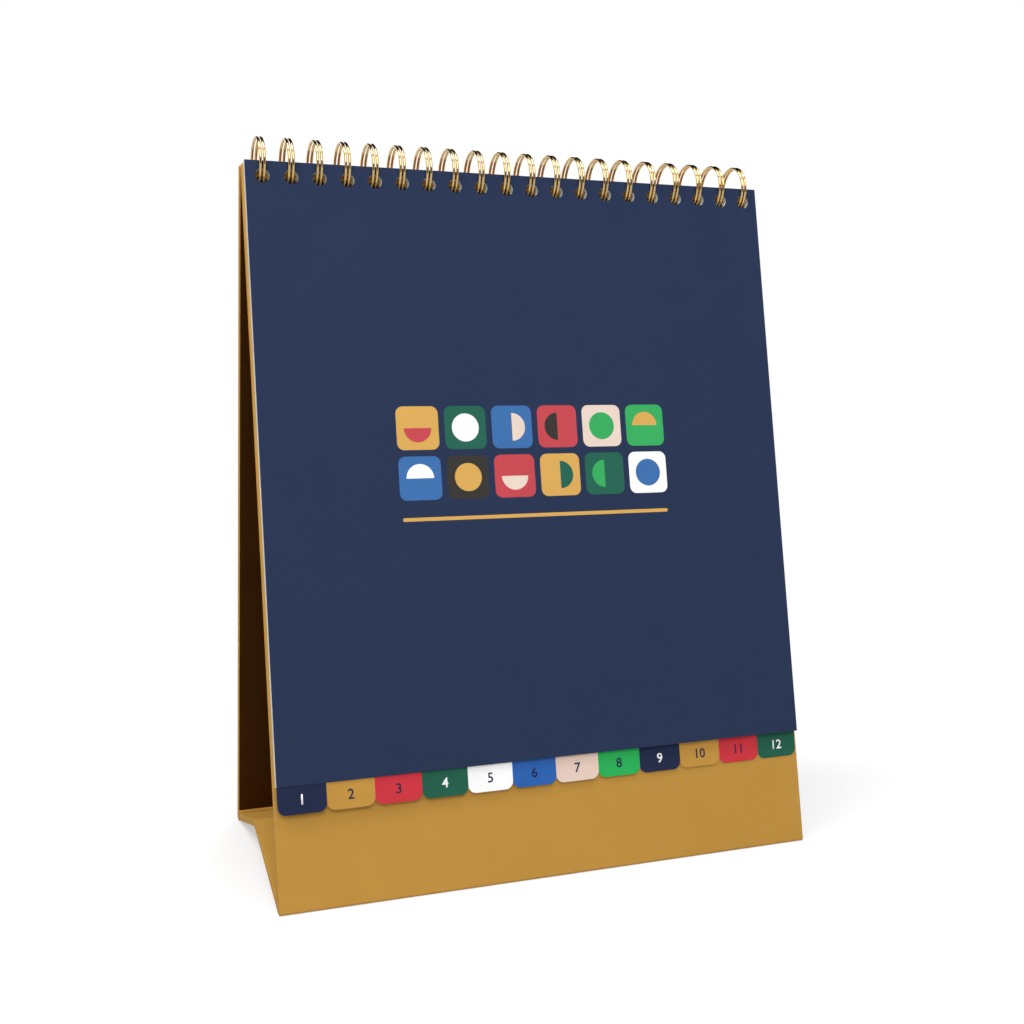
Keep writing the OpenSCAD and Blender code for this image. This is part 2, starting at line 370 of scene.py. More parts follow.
def link(name, shape, material, smooth_below=0.0):
    """An object from a bmesh, which is freed; edges flatter than smooth_below are shaded smooth."""
    mesh = bpy.data.meshes.new(name)
    shape.to_mesh(mesh)
    shape.free()
    mesh.materials.append(material)
    if smooth_below:
        mesh.polygons.foreach_set("use_smooth", [True] * len(mesh.polygons))
        mesh.set_sharp_from_angle(angle=smooth_below)
    piece = bpy.data.objects.new(name, mesh)
    scene.collection.objects.link(piece)
    return piece


print("edges above", round(math.degrees(SMOOTH)), "degrees stay sharp")

# %% [markdown]
# ## Wrapped edges
#
# Paper can't turn a sharp corner: round a board's edge it makes a small radius. The solids have sharp
# edges. A Bevel modifier would round all of them, but the edges in the folds stay sharp on the real
# stand. So a copy of each covering is merged, its flat faces are joined, and only the edges along its
# sides and its top end get a bevel. The points inside the bevel are marked in `rub`, so the wear lies
# exactly on the edge. The layer for the mark is added first, because adding one later would make every
# point that the script already holds invalid.

# %% Wrapped edges
WRAP_RADIUS = 0.35 * MM
WRAP_STEPS = 4
TOUCHING = 0.01 * MM
MERGED = TOUCHING / 10
FLAT = math.radians(1)
COVERINGS = {
    "front_wrap": "front_panel",
    "back_wrap": "back_panel",
    "front_flap_wrap": "front_flap",
    "rear_flap_wrap": "rear_flap",
}


def outer_edge(edge, half_width, top):
    """Whether an edge runs along a covering's sides or its top end."""
    middle = (edge.verts[0].co + edge.verts[1].co) / 2
    sharp = len(edge.link_faces) == 2 and edge.calc_face_angle() > SMOOTH
    outside = abs(middle.x) > half_width - TOUCHING or middle.z > top - WRAP_RADIUS
    return sharp and edge.is_convex and outside


def wrapped(node, body):
    """A covering with rounded, rubbed edges in place of the sharp solid."""
    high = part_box(node)[1]
    shape = bmesh.new()
    shape.from_mesh(frame["nodes"][node].data)
    rub = shape.verts.layers.float.new("rub")
    bmesh.ops.remove_doubles(shape, verts=shape.verts, dist=MERGED)
    bmesh.ops.dissolve_limit(shape, angle_limit=FLAT, verts=shape.verts, edges=shape.edges)
    rims = [edge for edge in shape.edges if outer_edge(edge, high.x, high.z)]
    rounds = bmesh.ops.bevel(
        shape,
        geom=rims,
        offset=WRAP_RADIUS,
        segments=WRAP_STEPS,
        profile=0.5,
        affect="EDGES",
        clamp_overlap=True,
        material=-1,
    )
    rounded = set(rounds["faces"])
    for vert in rounds["verts"]:
        vert[rub] = float(all(face in rounded for face in vert.link_faces))
    piece = link(node + "_paper", shape, covering_paper, SMOOTH)
    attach(piece, body)
    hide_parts(node)
    print(piece.name, "rounded", len(rims), "edges")


for covering, carrier in COVERINGS.items():
    wrapped(covering, carrier)

# %% [markdown]
# ## Lining and board
#
# Inside the easel a thin lining paper hides the turned-in edges. On the two tall panels the lining is a
# very
# dark brown, which is painted shade: it stands in for the dim inside of the easel. On the base flaps it
# is mustard. The grey board hides between the papers and shows only in the punched holes. These solids
# could be copied and bevelled too, but they already have the right shape, so they only change their
# material.

# %% Lining and board
# Painted shade: the tall panels' lining is a deep brown that stands in for the dim inside of the easel.
PAINTED_SHADE_BROWN = linear(62, 33, 6)
BOARD_GREY = linear(142, 134, 120)
painted_shade_lining = paper("painted_shade_lining", lambda place: PAINTED_SHADE_BROWN, clouds=0.08, strength=1.0, least_rough=0.69)
grey_board = paper("grey_board", lambda place: BOARD_GREY, clouds=0.16, strength=2.0, least_rough=0.79)


def dress(node, material):
    """Gives a node of the frame a finish."""
    slots = frame["nodes"][node].data.materials
    slots.clear()
    slots.append(material)


# The tall panels get the painted-shade lining, the base flaps the mustard paper.
for panel in ("front", "back", "front_flap", "rear_flap"):
    dress(panel + "_board", grey_board)
    dress(panel + "_liner", covering_paper if "flap" in panel else painted_shade_lining)
print("linings and boards:", sum(node.endswith(("_board", "_liner")) for node in frame["nodes"]))

# %% [markdown]
# ## The base flaps' axes
#
# The base is one strip of covered board that bends in three places: at each foot and at the crease
# between them. Its folds are drawn in the side view, so each flap needs its own two directions there:
# along it from its fold to the crease, and up out of it. A flap's upper face runs from its fold at the
# foot, and its lower face meets the crease, so it tilts a little more than the line between the two. A
# side view becomes a solid when its flat faces are drawn out over the base's width.

# %% The base flaps' axes
FLAP_T = 2.2 * MM
CREASE_RUN = 37.9 * MM
CREASE_RISE = 8.1 * MM
crease = front_fold + Vector((0, CREASE_RUN, CREASE_RISE))
rear_fold = Vector(joints["rear_flap_fold"]["pos_m"])
base_half_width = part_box("front_ridge")[1].x


def flap_axes(fold):
    """A base flap's directions: along it from its fold to the crease, and up out of it."""
    run = crease - fold
    tilt = math.atan2(run.z, abs(run.y)) + math.asin(FLAP_T / run.length)
    way = math.copysign(1, run.y)
    along_flap = Vector((0, way * math.cos(tilt), math.sin(tilt)))
    up = Vector((0, -way * math.sin(tilt), math.cos(tilt)))
    return along_flap, up


def points_of(parts):
    return [part for part in parts if isinstance(part, bmesh.types.BMVert)]


def drawn_out(shape):
    """Draws flat faces at the left side of the base out to its right side, as closed solids."""
    drawn = bmesh.ops.extrude_face_region(shape, geom=shape.faces[:])["geom"]
    bmesh.ops.translate(shape, verts=points_of(drawn), vec=across * 2 * base_half_width)
    bmesh.ops.recalc_face_normals(shape, faces=shape.faces)


front_along, front_flap_up = flap_axes(front_fold)
rear_along, rear_flap_up = flap_axes(rear_fold)
print("flaps meet at", round(math.degrees(front_along.angle(rear_along)), 1), "degrees")

# %% [markdown]
# ## The folds at the feet
#
# Rigid panels leave an open notch at a bend when the stand folds flat, where the real covering paper just
# turns the corner. At a foot, one joint joins the panel and the flap, and a slip of paper lies in the
# fold.
# The slip is a grid of thin columns, drawn out over the width.

# %% The folds at the feet
FOLD_GAP = 0.15 * MM
SLIP_COLUMNS = 8


def fold_slip(name, fold):
    """The paper in a foot's fold, a grid of thin columns drawn out over the width."""
    along_flap, up = flap_axes(fold)
    side_view = Matrix((along_flap, up, across)).transposed().to_4x4()
    side_view.translation = fold - across * base_half_width
    middle = Matrix.Translation((FOLD_GAP / 2, -FLAP_T / 2, 0))
    size = Matrix.Diagonal((FOLD_GAP / 2 - TOUCHING, FLAP_T / 2, 1, 1))
    place = side_view @ middle @ size
    shape = bmesh.new()
    bmesh.ops.create_grid(shape, x_segments=SLIP_COLUMNS, y_segments=1, size=1, matrix=place)
    drawn_out(shape)
    slip = link(name, shape, covering_paper)
    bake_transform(slip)
    print(name, "columns:", SLIP_COLUMNS)


fold_slip("front_fold_paper", front_fold)
fold_slip("rear_fold_paper", rear_fold)

# %% [markdown]
# ## The mid crease
#
# The two flaps meet in a crease that rises when the stand folds, and no single joint joins them, so
# nothing can be blended there. The front strip gets a curved tongue of paper instead. It goes round the
# crease and at rest lies in a curved slot of the rear strip. As the flaps rise it slides out of the slot
# and covers the opening, as the real paper does. Both strips are outlines in the side view, and their
# arcs are points on circles about the crease, with angles counted from the front flap's upward direction.

# %% The mid crease
RIDGE_W = 6 * MM
TONGUE_T = 0.25 * MM
SLOT_ROOM = 0.02 * MM
ARC_STEPS = 18
REAR_TOP = front_flap_up.angle(rear_flap_up)
REAR_UNDER = REAR_TOP + math.radians(90)
TONGUE_TIP = REAR_UNDER - math.radians(2)
SPLIT = math.radians(-8)
SPLIT_GAP = math.radians(1)


def round_crease(radius, start, stop):
    """Points on an arc round the crease."""
    turns = [start + (stop - start) * step / ARC_STEPS for step in range(ARC_STEPS + 1)]
    return [crease + radius * (math.cos(t) * front_flap_up + math.sin(t) * front_along) for t in turns]


def crease_strip(name, outlines, body, node):
    """A strip beside the crease from its outlines in the side view."""
    shape = bmesh.new()
    for outline in outlines:
        shape.faces.new([shape.verts.new(point - across * base_half_width) for point in outline])
    drawn_out(shape)
    strip = link(name, shape, covering_paper, SMOOTH)
    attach(strip, body)
    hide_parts(node)
    print(name, "faces:", len(strip.data.polygons))


print("the rear flap's top is", round(math.degrees(REAR_TOP), 1), "degrees round the crease")

# %% [markdown]
# ## Tongue and slot
#
# The tongue's outer arc continues the front flap's upper face, and the rear strip is cut by a slightly
# larger arc, so the two never touch. Inside the tongue the rear strip keeps a core that fills the bend.
# Boolean cuts would give the same shapes, but outlines with named radii are exact and cheap.

# %% Tongue and slot
inner_r = FLAP_T - TONGUE_T
core_r = inner_r - SLOT_ROOM
slot_r = FLAP_T + SLOT_ROOM
slot_mouth = REAR_TOP + math.acos(FLAP_T / slot_r)
front_end = crease - RIDGE_W * front_along
rear_end = crease - RIDGE_W * rear_along
tongue = round_crease(FLAP_T, 0, TONGUE_TIP) + round_crease(inner_r, TONGUE_TIP, SPLIT)
front_outline = [
    front_end,
    front_end + FLAP_T * front_flap_up,
    *tongue,
    crease - TOUCHING * front_along,
]
rear_outline = [
    rear_end,
    rear_end + FLAP_T * rear_flap_up,
    *round_crease(slot_r, slot_mouth, REAR_UNDER),
]
rear_core = [crease - TOUCHING * rear_along, *round_crease(core_r, SPLIT + SPLIT_GAP, REAR_UNDER)]
crease_strip("front_ridge_paper", [front_outline], "front_flap", "front_ridge")
crease_strip("rear_ridge_paper", [rear_outline, rear_core], "rear_flap", "rear_ridge")

# %% [markdown]
# ## Bending wire
#
# A twin-loop binding is one wire that a machine bends back and forth: along the spine, a tight turn,
# round the loop, a hairpin at its tip, back round the loop and on to the next. A curve with a round
# profile could follow that path, but it twists and pinches in tight bends. `bmesh.ops.spin` works as the
# machine does: a small ring of vertices is the wire's end, and each bend sweeps it on, so the tube never
# breaks. Angles are counted from straight below the loops' centre, forwards, up and over.

# %% Bending wire
loop_centre = Vector(joints["stand_fold"]["pos_m"])


def wire_out(angle):
    """The direction from the loops' centre to the wire."""
    return Vector((0, -math.sin(angle), -math.cos(angle)))


def wire_on(angle):
    """The direction in which the wire goes on round the loop."""
    return Vector((0, -math.cos(angle), math.sin(angle)))


def bent(shape, end, centre, axis, angle, steps):
    """Sweeps the wire's end round a bend and returns the new end."""
    turned = bmesh.ops.spin(shape, geom=end, cent=centre, axis=axis, angle=angle, steps=steps)
    return turned["geom_last"]


def run_on(shape, end, way):
    """Draws the wire's end straight on."""
    edges = [part for part in end if isinstance(part, bmesh.types.BMEdge)]
    drawn = bmesh.ops.extrude_edge_only(shape, edges=edges)["geom"]
    bmesh.ops.translate(shape, verts=points_of(drawn), vec=way)


print("loops turn about", loop_centre)

# %% [markdown]
# ## One twin loop
#
# The twin strands stand close together and part at the spine, where each turns off sideways. One loop
# starts with the turn out of the spine, goes up and round, makes the hairpin, comes back the same way and
# ends with the straight run to the next loop. All loops are the same, so one is bent and kept as a mesh.

# %% One twin loop
LOOP_PITCH = 8.467 * MM
LOOP_R = 7.42 * MM
WIRE_D = 0.84 * MM
TWIN_GAP = 1.2 * MM
ROOT_R = 0.8 * MM
ARC_START = math.radians(-17.7)
ARC_END = math.radians(316)
QUARTER = math.radians(90)
WIRE_SIDES = 12
ROOT_STEPS = 5
LOOP_STEPS = 44
HAIRPIN_STEPS = 8


def twin_loop():
    """One twin loop about x = 0, with the run of spine that leads to the next one, as a mesh."""
    root = loop_centre + LOOP_R * wire_out(ARC_START)
    tip = loop_centre + LOOP_R * wire_out(ARC_END)
    left_turn = root - across * (TWIN_GAP / 2 + ROOT_R)
    right_turn = root + across * (TWIN_GAP / 2 + ROOT_R)
    sideways = across.cross(wire_on(ARC_START))
    hairpin = wire_on(ARC_END).cross(across)
    start = Matrix.Translation(left_turn - ROOT_R * wire_on(ARC_START)) @ Matrix.Rotation(QUARTER, 4, "Y")
    shape = bmesh.new()
    bmesh.ops.create_circle(shape, segments=WIRE_SIDES, radius=WIRE_D / 2, matrix=start)
    end = shape.verts[:] + shape.edges[:]
    end = bent(shape, end, left_turn, sideways, QUARTER, ROOT_STEPS)
    end = bent(shape, end, loop_centre, -across, ARC_END - ARC_START, LOOP_STEPS)
    end = bent(shape, end, tip, hairpin, 2 * QUARTER, HAIRPIN_STEPS)
    end = bent(shape, end, loop_centre, across, ARC_END - ARC_START, LOOP_STEPS)
    end = bent(shape, end, right_turn, sideways, QUARTER, ROOT_STEPS)
    run_on(shape, end, across * (LOOP_PITCH - TWIN_GAP - 2 * ROOT_R))
    mesh = bpy.data.meshes.new("twin_loop")
    shape.to_mesh(mesh)
    shape.free()
    return mesh


loop = twin_loop()
print("one twin loop:", len(loop.polygons), "faces")

# %% [markdown]
# ## The whole binding
#
# Twenty copies of the loop stand a pitch apart, and each run of spine ends where the next loop begins. An
# Array modifier could repeat the loop as well. Copies in one bmesh are merged into a single unbroken
# wire, the last run is cut off behind the last loop, and the two ends are closed.

# %% The whole binding
LOOPS = 20


def add_copy(shape, mesh, place):
    """Adds a copy of a mesh to a bmesh, moved by a matrix."""
    start = len(shape.verts)
    shape.from_mesh(mesh)
    shape.verts.ensure_lookup_table()
    bmesh.ops.transform(shape, matrix=place, verts=shape.verts[start:])


def wire_binding():
    """Twenty twin loops as one closed wire."""
    last_loop = (LOOPS - 1) / 2 * LOOP_PITCH
    shape = bmesh.new()
    for number in range(LOOPS):
        add_copy(shape, loop, Matrix.Translation(across * (number * LOOP_PITCH - last_loop)))
    bmesh.ops.remove_doubles(shape, verts=shape.verts, dist=MERGED)
    wire_end = across * (last_loop + TWIN_GAP / 2 + ROOT_R + TOUCHING)
    whole = shape.verts[:] + shape.edges[:] + shape.faces[:]
    bmesh.ops.bisect_plane(shape, geom=whole, plane_co=wire_end, plane_no=across, clear_outer=True)
    open_edges = [edge for edge in shape.edges if edge.is_boundary]
    bmesh.ops.holes_fill(shape, edges=open_edges, sides=0)
    bmesh.ops.recalc_face_normals(shape, faces=shape.faces)
    return shape


binding = wire_binding()
print("open edges of the binding:", sum(edge.is_boundary for edge in binding.edges))

# %% [markdown]
# ## Gold wire
#
# The binding is steel wire with a bright gold lacquer. It shines almost like a mirror, with faint dull
# spots and the fine lines of drawing along it. A plain metallic colour would look cast, so a coarse noise
# dulls and darkens the colour in places, and a noise stretched along the wire's spine is a very shallow
# bump.

# %% Gold wire
GOLD = linear(206, 174, 116)
DULL_SHARE = 0.86
DULL_SPOTS = 160
DRAWN_LINES = 9000
LINE_STRETCH = (0.15, 1.0, 1.0)
LINE_DEPTH = 0.02 * MM
LINE_STRENGTH = 0.08
dull_gold = (*(part * DULL_SHARE for part in GOLD[:3]), 1.0)


def gold_paint(place):
    dull = place.noise(DULL_SPOTS, 3.0, 0.6).ramp(0.35, 0.75)
    stretched = place.node("Mapping", sockets={"Vector": place, "Scale": LINE_STRETCH})
    sockets = {"Strength": LINE_STRENGTH, "Distance": LINE_DEPTH, "Height": stretched.noise(DRAWN_LINES)}
    return {
        "Base Color": dull.mix(GOLD, dull_gold),
        "Roughness": 0.07 + dull * 0.06,
        "Normal": place.node("Bump", sockets=sockets),
    }


gold_wire = finish("gold_wire", gold_paint, Metallic=1.0)
wire = link("gold_wire_binding", binding, gold_wire, SMOOTH)
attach(wire, "front_panel")
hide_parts("wire_binding")
print("wire faces:", len(wire.data.polygons))

# %% [markdown]
# ## Where a point lies on a sheet
#
# A printed sheet has ink on its faces and bare white paper at its cut edges, which is why the pad shows a
# thin pale line at its side. Two materials on different faces could do that. One material is simpler
# here: it finds out where a point lies by taking its length along the front panel's directions. Within an
# ink's depth of a face it is ink, elsewhere it is paper.

# %% Where a point lies on a sheet
PAPER_WHITE = linear(224, 223, 217)
SHEET_T = 0.14 * MM
INK_DEPTH = 0.012 * MM


def on_sheet(place, direction):
    """A point's length along one of the front panel's directions, counted from its fold."""
    return place.along(direction) - front_fold.dot(direction)


def between(value, low, high):
    return (value > low) * (value < high)


def front_side(out, face):
    """1 in the ink on a sheet's front."""
    return out > face - INK_DEPTH


def back_side(out, face):
    """1 in the ink on a sheet's back."""
    return out < face - SHEET_T + INK_DEPTH


print(f"ink is {INK_DEPTH / SHEET_T:.0%} of a sheet's thickness")

# %% [markdown]
# ## The cover
#
# The cover is stiff paper, inked navy on both faces. It is smoother than the sheets below it, because so
# much ink fills the felt of the paper. The solid keeps its shape, with its punched holes, and only gets
# its finish.

# %% The cover
NAVY_COVER = linear(41, 53, 80)


def cover_at(place):
    out = on_sheet(place, front_out)
    face = face_height("cover_sheet")
    return front_side(out, face).most(back_side(out, face)).mix(PAPER_WHITE, NAVY_COVER)


cover_stock = paper("cover_stock", cover_at, clouds=0.03, strength=0.7, least_rough=0.55, spread=0.1)
dress("cover_sheet", cover_stock)
print(f"cover's face lies {face_height('cover_sheet') / MM:.2f} mm above the fold")

# %% [markdown]
# ## The month sheets
#
# Each month has its own colour, on its tab and on a band at its head, and the colours come round again
# after eight months. The front has a grid for the days, the back has ruled lines for notes. Thin lines
# could be modelled, but some hundred slivers of mesh would be wasteful. A line is a remainder instead:
# where the length divided by a cell's size is close to a whole number, there is a line.

# %% The month sheets
NAVY = linear(36, 44, 71)
MUSTARD_TAB = linear(190, 143, 67)
RED = linear(201, 56, 66)
PINE = linear(38, 94, 75)
WHITE = linear(251, 251, 251)
BLUE = linear(48, 98, 173)
BLUSH = linear(227, 202, 188)
GREEN = linear(45, 172, 88)
GRID_GREY = linear(156, 158, 163)
COLOUR_ROUND = (NAVY, MUSTARD_TAB, RED, PINE, WHITE, BLUE, BLUSH, GREEN)
TAB_COLOURS = [COLOUR_ROUND[index % len(COLOUR_ROUND)] for index in range(len(MONTHS))]

BAND_TOP = SHEET_TOP - 12 * MM
BAND_FOOT = SHEET_TOP - 27 * MM
GRID_TOP = SHEET_TOP - 31 * MM
GRID_FOOT = SHEET_FOOT + 7 * MM
GRID_W = SHEET_W - 13 * MM
WEEK_DAYS = 7
WEEK_ROWS = 6
CELL_W = GRID_W / WEEK_DAYS
CELL_H = (GRID_TOP - GRID_FOOT) / WEEK_ROWS
NOTE_H = CELL_H / 3
LINE_W = 0.35 * MM


def ruled(length, start, cell):
    """1 on thin lines that are one cell apart."""
    return (((length - start) / cell + 0.5).share() - 0.5).size() < LINE_W / 2 / cell


def month_finish(month, colour):
    """A month sheet's finish: tab, band, grid of days and ruled lines."""
    face = face_height(month + "_sheet")

    def month_at(place):
        x = on_sheet(place, across)
        up = on_sheet(place, front_up)
        out = on_sheet(place, front_out)
        front = front_side(out, face)
        back = back_side(out, face)
        tab = up < SHEET_FOOT
        band = between(up, BAND_FOOT, BAND_TOP) * (x.size() < GRID_W / 2)
        days = ruled(x, -GRID_W / 2, CELL_W).most(ruled(up, GRID_FOOT, CELL_H))
        notes = ruled(up, GRID_FOOT, NOTE_H)
        beside = x.size() < GRID_W / 2 + LINE_W
        in_grid = beside * between(up, GRID_FOOT - LINE_W, GRID_TOP + LINE_W)
        lines = (days * front).most(notes * back) * in_grid
        return (tab.most(band) * front.most(back)).mix(lines.mix(PAPER_WHITE, GRID_GREY), colour)

    return paper(month + "_sheet", month_at, clouds=0.03, strength=1.0, least_rough=0.62)


for month, colour in zip(MONTHS, TAB_COLOURS):
    dress(month + "_sheet", month_finish(month, colour))
print("cell", round(CELL_W / MM, 2), "by", round(CELL_H / MM, 2), "mm")

# %% [markdown]
# ## Numerals
#
# Ink lies on the paper as a layer that is far thinner than the sheet. Numerals could be drawn stroke by
# stroke, but Blender's text object has a good plain font. Each number is made once, one metre high,
# turned into a flat mesh before it gets a place, and copied from there.

# %% Numerals
CAP_SHARE = 0.7
NUMBER_WEIGHT = 0.02
NUMBER_STEPS = 3


def number_mesh(number):
    """A number as a flat mesh with capitals one metre high, centred across, standing on its base line."""
    curve = bpy.data.curves.new("number", "FONT")
    curve.body = str(number)
    curve.align_x = "CENTER"
    curve.resolution_u = NUMBER_STEPS
    curve.size = 1 / CAP_SHARE
    curve.offset = NUMBER_WEIGHT
    text = bpy.data.objects.new("number", curve)
    scene.collection.objects.link(text)
    mesh = bpy.data.meshes.new_from_object(text.evaluated_get(bpy.context.evaluated_depsgraph_get()))
    bpy.data.objects.remove(text)
    bpy.data.curves.remove(curve)
    return mesh


number_meshes = {number: number_mesh(number) for number in range(1, max(calendar.mdays) + 1)}
print("numerals:", len(number_meshes))

# %% [markdown]
# ## Layers of ink
#
# All that is printed in one colour on one sheet is one piece. It is drawn flat, in the panel's own axes,
# then merged, extruded by the thickness of the ink and laid on the leaning sheet, where it rides with the
# page. A hair's breadth of room below it keeps the two surfaces from fighting for the same pixels. Ink is
# paper that is a little smoother.

# %% Layers of ink
INK_T = 0.006 * MM
INK_LIFT = 0.005 * MM


def ink(name, colour):
    return paper(name, lambda place: colour, clouds=0.03, strength=0.8, least_rough=0.54)


def print_number(shape, number, x, y, height, face):
    """Adds a number to a layer of ink: x and y are its middle on the sheet."""
    place = Matrix.Translation((x, y - height / 2, face + INK_LIFT))
    add_copy(shape, number_meshes[number], place @ Matrix.Diagonal((height, height, 1, 1)))


def inked(name, shape, material, body):
    """Thickens flat ink, lays it on the leaning sheet and lets it ride there."""
    bmesh.ops.remove_doubles(shape, verts=shape.verts, dist=INK_T / 100)
    drawn = bmesh.ops.extrude_face_region(shape, geom=shape.faces[:])["geom"]
    bmesh.ops.translate(shape, verts=points_of(drawn), vec=(0, 0, INK_T))
    bmesh.ops.recalc_face_normals(shape, faces=shape.faces)
    bmesh.ops.transform(shape, matrix=on_front, verts=shape.verts)
    piece = link(name, shape, material)
    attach(piece, body)


white_ink = ink("white_ink", WHITE)
navy_ink = ink("navy_ink", NAVY)
day_ink = ink("day_ink", linear(52, 54, 60))
print(f"ink {INK_T / MM:.3f} mm thick, {INK_LIFT / MM:.3f} mm above the paper")

# %% [markdown]
# ## The months' numbers
#
# Each month has its number on its tab and in its band, white or navy, whichever can be read there, and
# its days in the grid. Each month's first day follows on from the month before, so the weeks run through
# the year.

# %% The months' numbers
TAB_NUMBER_H = 2.9 * MM
TAB_NUMBER_DROP = 3.9 * MM
BAND_NUMBER_H = 8 * MM
DAY_NUMBER_H = 4 * MM
DAY_INSET = 2.2 * MM
DAY_MIDDLE = 0.6 * DAY_NUMBER_H
WHITE_ON_TABS = (NAVY, PINE)
NAVY_ON_BANDS = (WHITE, BLUSH)


def print_one(name, number, x, y, height, face, material, body):
    """A layer of ink with a single number."""
    shape = bmesh.new()
    print_number(shape, number, x, y, height, face)
    inked(name, shape, material, body)


def print_days(name, days, first_column, face, body):
    """A layer of ink with a month's days in the grid."""
    shape = bmesh.new()
    for day in range(days):
        row, column = divmod(first_column + day, WEEK_DAYS)
        x = -GRID_W / 2 + column * CELL_W + DAY_INSET + DAY_MIDDLE
        y = GRID_TOP - row * CELL_H - DAY_INSET - DAY_NUMBER_H / 2
        print_number(shape, day + 1, x, y, DAY_NUMBER_H, face)
    inked(name, shape, day_ink, body)


first_column = 0
for index, (month, colour) in enumerate(zip(MONTHS, TAB_COLOURS)):
    face = face_height(month + "_sheet")
    body = month + "_page"
    tab_x = -SHEET_W / 2 + (index + 0.5) * TAB_W
    tab_y = SHEET_FOOT - TAB_NUMBER_DROP
    tab_ink = white_ink if colour in WHITE_ON_TABS else navy_ink
    print_one(month + "_tab_number", index + 1, tab_x, tab_y, TAB_NUMBER_H, face, tab_ink, body)
    band_y = (BAND_TOP + BAND_FOOT) / 2
    band_ink = navy_ink if colour in NAVY_ON_BANDS else white_ink
    print_one(month + "_band_number", index + 1, 0, band_y, BAND_NUMBER_H, face, band_ink, body)
    days = calendar.mdays[index + 1]
    print_days(month + "_days", days, first_column, face, body)
    first_column = (first_column + days) % WEEK_DAYS
print("days printed:", sum(calendar.mdays))

# %% [markdown]
# ## Tiles and discs
#
# The cover's print is made of two shapes. A tile is a one-face grid whose corners are bevelled. A disc is
# a circle with a face in it, and a half disc is the same circle cut by a plane. Both could be curves, but
# these operators give clean flat faces straight away.

# %% Tiles and discs
DISC_R = 4.3 * MM
DISC_SIDES = 64
CORNER_STEPS = 6


def rounded_tile(shape, x, y, height, w, h, radius):
    """A flat tile with rounded corners."""
    place = Matrix.Translation((x, y, height)) @ Matrix.Diagonal((w / 2, h / 2, 1, 1))
    corners = bmesh.ops.create_grid(shape, x_segments=1, y_segments=1, size=1, matrix=place)["verts"]
    bmesh.ops.bevel(
        shape,
        geom=corners,
        offset=radius,
        segments=CORNER_STEPS,
        profile=0.5,
        affect="VERTICES",
        clamp_overlap=True,
        material=-1,
    )


def disc(shape, x, y, height, quarter_turns):
    """A flat disc, or half of one, turned by quarters; None leaves it whole."""
    middle = Vector((x, y, height))
    place = Matrix.Translation(middle)
    made = bmesh.ops.create_circle(shape, cap_ends=True, segments=DISC_SIDES, radius=DISC_R, matrix=place)
    if quarter_turns is None:
        return
    verts = made["verts"]
    faces = list({face for vert in verts for face in vert.link_faces})
    edges = list({edge for vert in verts for edge in vert.link_edges})
    cut = Matrix.Rotation(QUARTER * quarter_turns, 3, "Z") @ Vector((0, 1, 0))
    whole = verts + edges + faces
    bmesh.ops.bisect_plane(shape, geom=whole, plane_co=middle, plane_no=cut, clear_outer=True)


print(f"discs {2 * DISC_R / MM:.1f} mm across, {DISC_SIDES} sides")

# %% [markdown]
# ## The cover's print
#
# The cover carries a print in the tabs' colours: two rows of rounded tiles, one for each month, with half
# and whole discs on them, over a plain gold rule. It could be a picture, but ink as thin geometry stays
# crisp at any distance. A tile is written as its colour, its disc's colour and how the half disc is
# turned. Discs lie one layer above the tiles, and all the shapes of one colour are one piece.

# %% The cover's print
PRINT_MIDDLE = 127.3 * MM
RULE_MIDDLE = 107.4 * MM
RULE_W = 88 * MM
RULE_H = 1.1 * MM
TILE = 13.2 * MM
TILE_GAP = 1.95 * MM
TILE_R = 2.2 * MM
TILE_COLUMNS = 6
TILE_HEIGHT = face_height("cover_sheet") + INK_LIFT
DISC_HEIGHT = TILE_HEIGHT + INK_T + INK_LIFT
PRINT_COLOURS = {
    "gold": linear(216, 169, 90),
    "red": linear(196, 74, 82),
    "pine": linear(41, 100, 83),
    "white": WHITE,
    "blue": linear(64, 112, 172),
    "blush": linear(232, 212, 198),
    "green": linear(60, 171, 96),
    "charcoal": linear(58, 55, 53),
}
TILES = (
    ("gold", "red", 0),
    ("pine", "white", None),
    ("blue", "blush", 1),
    ("red", "charcoal", 3),
    ("blush", "green", None),
    ("green", "gold", 2),
    ("blue", "white", 2),
    ("charcoal", "gold", None),
    ("red", "blush", 0),
    ("gold", "pine", 1),
    ("pine", "green", 3),
    ("white", "blue", None),
)

layers = {name: bmesh.new() for name in PRINT_COLOURS}
for index, (tile_colour, disc_colour, turns) in enumerate(TILES):
    row, column = divmod(index, TILE_COLUMNS)
    x = (column - (TILE_COLUMNS - 1) / 2) * (TILE + TILE_GAP)
    y = PRINT_MIDDLE + (0.5 - row) * (TILE + TILE_GAP)
    rounded_tile(layers[tile_colour], x, y, TILE_HEIGHT, TILE, TILE, TILE_R)
    disc(layers[disc_colour], x, y, DISC_HEIGHT, turns)
rounded_tile(layers["gold"], 0, RULE_MIDDLE, TILE_HEIGHT, RULE_W, RULE_H, RULE_H / 2)
for name, shape in layers.items():
    inked("cover_print_" + name, shape, ink(name + "_print", PRINT_COLOURS[name]), "cover_page")
print("cover's print:", len(TILES), "tiles in", len(PRINT_COLOURS), "colours")

# %% [markdown]
# ## The floor
#
# The photograph is a cut-out on white. A floor that is lit until it is white would also light the stand
# from below. So this floor is plain pale paper near the stand, where it keeps the shadow, and fades into
# pure white further off. Light Path tells which rays see it: those from the camera, off metal or through
# glass see the white, and all others find a dimmer floor that throws little light back at the stand.

# %% The floor
FLOOR_SIZE = 8.0
FLOOR_WHITE = grey(0.9)
FLOOR_BOUNCE = grey(0.6)
PURE_WHITE = grey(1.0)
SHADOW_NEAR = 0.10
SHADOW_FAR = 0.32
LEAST_FADE = 0.5
CARD_ROUGH = 0.9


